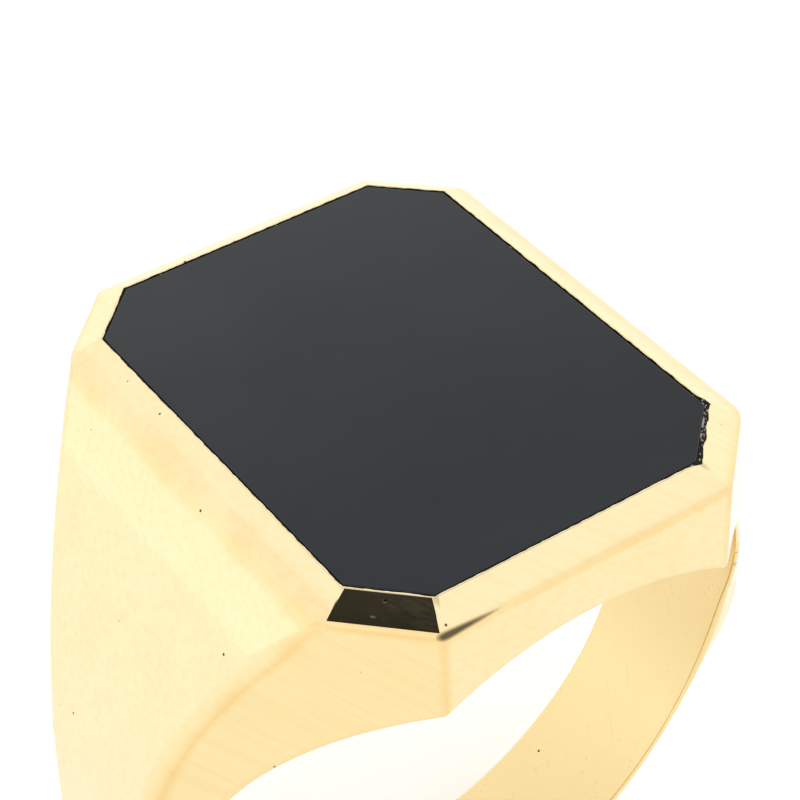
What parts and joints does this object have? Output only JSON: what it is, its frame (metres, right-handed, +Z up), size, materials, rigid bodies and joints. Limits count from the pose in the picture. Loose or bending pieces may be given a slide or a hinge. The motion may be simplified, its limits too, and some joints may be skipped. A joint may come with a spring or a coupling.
{
  "type": "signet ring",
  "caption": "Heavy gold signet ring with a flush octagonal black onyx tablet, a bevelled head and plain tapering shoulders.",
  "frame": {"origin": "centre of the finger hole", "axes": "+Z up through the middle of the head, +Y along the finger hole, +X from shoulder to shoulder"},
  "size_m": [0.0228, 0.018, 0.0242],
  "materials": {
    "yellow_gold": "polished",
    "black_onyx": "polished",
    "epoxy_cement": "satin"
  },
  "bodies": {
    "root": {"ring_body": "yellow_gold", "onyx_tablet": "black_onyx", "setting_cement": "epoxy_cement"}
  },
  "joints": []
}
